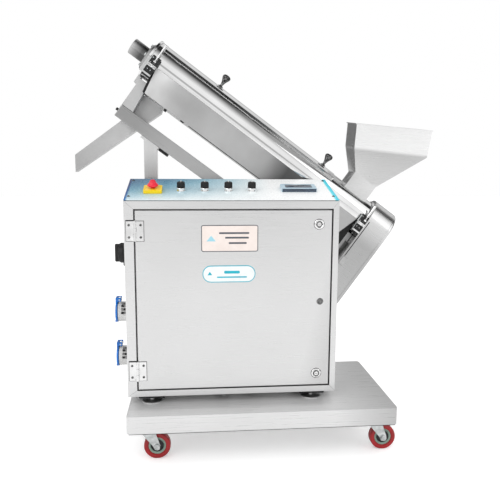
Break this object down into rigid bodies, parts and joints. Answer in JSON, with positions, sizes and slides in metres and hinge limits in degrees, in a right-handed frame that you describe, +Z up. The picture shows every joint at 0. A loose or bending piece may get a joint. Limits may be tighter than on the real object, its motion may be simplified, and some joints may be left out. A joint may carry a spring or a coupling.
{
  "type": "inclined capsule polishing machine",
  "caption": "Sloping polishing tube with feed hopper, brush, dust trough, chute and belt guard behind a stainless control cabinet on a caster trolley.",
  "frame": {"origin": "centre of the machine's bounding box at floor level", "axes": "+X to the right seen from the control panel, +Y from the operator towards the tube, +Z up"},
  "size_m": [1.1316, 0.47, 1.2046],
  "materials": {
    "polished_stainless": "mirror polished stainless steel",
    "satin_stainless": "satin brushed stainless sheet",
    "bead_blasted_stainless": "matt bead blasted stainless",
    "zinc_steel": "bright zinc plated steel",
    "red_polyurethane": "semi-gloss moulded tread",
    "black_rubber": "matt",
    "black_plastic": "fine grained",
    "yellow_plastic": "gloss moulded",
    "red_plastic": "gloss moulded",
    "blue_plastic": "gloss moulded",
    "grey_plastic": "moulded",
    "panel_film": "printed polyester film",
    "plate_enamel": "printed plate",
    "display_housing": "moulded case with a dark window",
    "nylon_bristle": "fine filaments",
    "motor_paint": "hammered grey enamel"
  },
  "bodies": {
    "machine": {"base_deck": "satin_stainless", "caster_plates": "zinc_steel", "rubber_mounts": "black_rubber", "cabinet_shell": "satin_stainless", "door_stop_frame": "satin_stainless", "door_gasket": "black_rubber", "hinge_frame_leaves": "polished_stainless", "cabinet_screws": "zinc_steel", "panel_plate": "panel_film", "estop_housing": "yellow_plastic", "selector_collars": "polished_stainless", "speed_display": "display_housing", "isolator_body": "black_plastic", "socket_bodies": "grey_plastic", "control_gear": "grey_plastic", "inclined_beam": "satin_stainless", "frame_posts": "satin_stainless", "frame_bolts": "zinc_steel", "end_brackets": "bead_blasted_stainless", "dust_trough": "bead_blasted_stainless", "tube_shell": "polished_stainless", "screen_tube": "polished_stainless", "tube_fittings": "bead_blasted_stainless", "latch_bodies": "black_plastic", "feed_hopper": "satin_stainless", "discharge_chute": "bead_blasted_stainless", "belt_guard": "satin_stainless", "guard_cover": "polished_stainless", "drive_belt": "black_rubber", "drive_motor": "motor_paint"},
    "caster_swivel_fl": {"caster_fork_fl": "zinc_steel"},
    "caster_roller_fl": {"caster_wheel_fl": "red_polyurethane"},
    "caster_swivel_fr": {"caster_fork_fr": "zinc_steel"},
    "caster_roller_fr": {"caster_wheel_fr": "red_polyurethane"},
    "caster_swivel_rl": {"caster_fork_rl": "zinc_steel"},
    "caster_roller_rl": {"caster_wheel_rl": "red_polyurethane"},
    "caster_swivel_rr": {"caster_fork_rr": "zinc_steel"},
    "caster_roller_rr": {"caster_wheel_rr": "red_polyurethane"},
    "door": {"door_panel": "satin_stainless", "hinge_door_leaves": "polished_stainless", "door_screws": "zinc_steel", "lock_housings": "polished_stainless", "door_plates": "plate_enamel"},
    "lock_lower": {"lock_cam_lower": "polished_stainless"},
    "lock_upper": {"lock_cam_upper": "polished_stainless"},
    "stop_button": {"estop_button": "red_plastic"},
    "selector_1": {"selector_knob_1": "black_plastic"},
    "selector_2": {"selector_knob_2": "black_plastic"},
    "selector_3": {"selector_knob_3": "black_plastic"},
    "selector_4": {"selector_knob_4": "black_plastic"},
    "isolator_handle": {"isolator_knob": "black_plastic"},
    "lid_lower": {"socket_lid_lower": "blue_plastic"},
    "lid_upper": {"socket_lid_upper": "blue_plastic"},
    "cover": {"tube_lid": "polished_stainless", "lid_knobs": "polished_stainless"},
    "lever_upper": {"latch_lever_upper": "polished_stainless"},
    "lever_lower": {"latch_lever_lower": "polished_stainless"},
    "brush": {"brush_shaft": "bead_blasted_stainless", "brush_bristles": "nylon_bristle"},
    "motor_rotor": {"drive_pulley": "zinc_steel"}
  },
  "joints": [
    {"name": "swivel_fl", "type": "hinge", "parent": "machine", "child": "caster_swivel_fl", "pos_m": [-0.32925, -0.18, 0.085], "axis": [0, 0, 1], "continuous": true},
    {"name": "roll_fl", "type": "hinge", "parent": "caster_swivel_fl", "child": "caster_roller_fl", "pos_m": [-0.30225, -0.18, 0.0375], "axis": [0, 1, 0], "continuous": true},
    {"name": "swivel_fr", "type": "hinge", "parent": "machine", "child": "caster_swivel_fr", "pos_m": [0.32475, -0.18, 0.085], "axis": [0, 0, 1], "continuous": true},
    {"name": "roll_fr", "type": "hinge", "parent": "caster_swivel_fr", "child": "caster_roller_fr", "pos_m": [0.35175, -0.18, 0.0375], "axis": [0, 1, 0], "continuous": true},
    {"name": "swivel_rl", "type": "hinge", "parent": "machine", "child": "caster_swivel_rl", "pos_m": [-0.32925, 0.11, 0.085], "axis": [0, 0, 1], "continuous": true},
    {"name": "roll_rl", "type": "hinge", "parent": "caster_swivel_rl", "child": "caster_roller_rl", "pos_m": [-0.30225, 0.11, 0.0375], "axis": [0, 1, 0], "continuous": true},
    {"name": "swivel_rr", "type": "hinge", "parent": "machine", "child": "caster_swivel_rr", "pos_m": [0.32475, 0.11, 0.085], "axis": [0, 0, 1], "continuous": true},
    {"name": "roll_rr", "type": "hinge", "parent": "caster_swivel_rr", "child": "caster_roller_rr", "pos_m": [0.35175, 0.11, 0.0375], "axis": [0, 1, 0], "continuous": true},
    {"name": "door_swing", "type": "hinge", "parent": "machine", "child": "door", "pos_m": [-0.35525, -0.1525, 0.447], "axis": [0, 0, -1], "range_deg": [0, 115]},
    {"name": "lock_turn_lower", "type": "hinge", "parent": "door", "child": "lock_lower", "pos_m": [0.15775, -0.148, 0.223], "axis": [0, 1, 0], "range_deg": [0, 90]},
    {"name": "lock_turn_upper", "type": "hinge", "parent": "door", "child": "lock_upper", "pos_m": [0.15775, -0.148, 0.66], "axis": [0, -1, 0], "range_deg": [0, 90]},
    {"name": "stop_press", "type": "slide", "parent": "machine", "child": "stop_button", "axis": [0, 0.2687, -0.9632], "range_m": [0, 0.004], "stiffness_N_per_m": 500},
    {"name": "selector_turn_1", "type": "hinge", "parent": "machine", "child": "selector_1", "pos_m": [-0.23025, -0.06978, 0.7592], "axis": [0, -0.2687, 0.9632], "range_deg": [-45, 45]},
    {"name": "selector_turn_2", "type": "hinge", "parent": "machine", "child": "selector_2", "pos_m": [-0.16225, -0.06978, 0.7592], "axis": [0, -0.2687, 0.9632], "range_deg": [-45, 45]},
    {"name": "selector_turn_3", "type": "hinge", "parent": "machine", "child": "selector_3", "pos_m": [-0.09425, -0.06978, 0.7592], "axis": [0, -0.2687, 0.9632], "range_deg": [-45, 45]},
    {"name": "selector_turn_4", "type": "hinge", "parent": "machine", "child": "selector_4", "pos_m": [-0.02625, -0.06978, 0.7592], "axis": [0, -0.2687, 0.9632], "range_deg": [-135, 135]},
    {"name": "isolator_turn", "type": "hinge", "parent": "machine", "child": "isolator_handle", "pos_m": [-0.40525, -0.068, 0.572], "axis": [-1, 0, 0], "range_deg": [0, 90]},
    {"name": "socket_lid_lower_lift", "type": "hinge", "parent": "machine", "child": "lid_lower", "pos_m": [-0.41075, -0.068, 0.303], "axis": [0, 1, 0], "range_deg": [0, 100], "stiffness_Nm_per_rad": 0.02, "springref_deg": -11.46},
    {"name": "socket_lid_upper_lift", "type": "hinge", "parent": "machine", "child": "lid_upper", "pos_m": [-0.41075, -0.068, 0.436], "axis": [0, 1, 0], "range_deg": [0, 100], "stiffness_Nm_per_rad": 0.02, "springref_deg": -11.46},
    {"name": "cover_lift", "type": "hinge", "parent": "machine", "child": "cover", "pos_m": [-0.01689, 0.1758, 0.97116], "axis": [-0.809, 0, 0.5878], "range_deg": [0, 100]},
    {"name": "latch_swing_upper", "type": "hinge", "parent": "machine", "child": "lever_upper", "pos_m": [-0.30533, 0.049, 1.12623], "axis": [0.809, 0, -0.5878], "range_deg": [0, 90]},
    {"name": "latch_swing_lower", "type": "hinge", "parent": "machine", "child": "lever_lower", "pos_m": [0.34876, 0.049, 0.651], "axis": [0.809, 0, -0.5878], "range_deg": [0, 90]},
    {"name": "brush_spin", "type": "hinge", "parent": "machine", "child": "brush", "pos_m": [0.01636, 0.122, 0.89869], "axis": [0.809, 0, -0.5878], "continuous": true},
    {"name": "motor_spin", "type": "hinge", "parent": "machine", "child": "motor_rotor", "pos_m": [0.20775, 0.122, 0.41354], "axis": [0.809, 0, -0.5878], "continuous": true}
  ],
  "couplings": [
    {"joint": "motor_spin", "follows": "brush_spin", "ratio": 1.75}
  ]
}
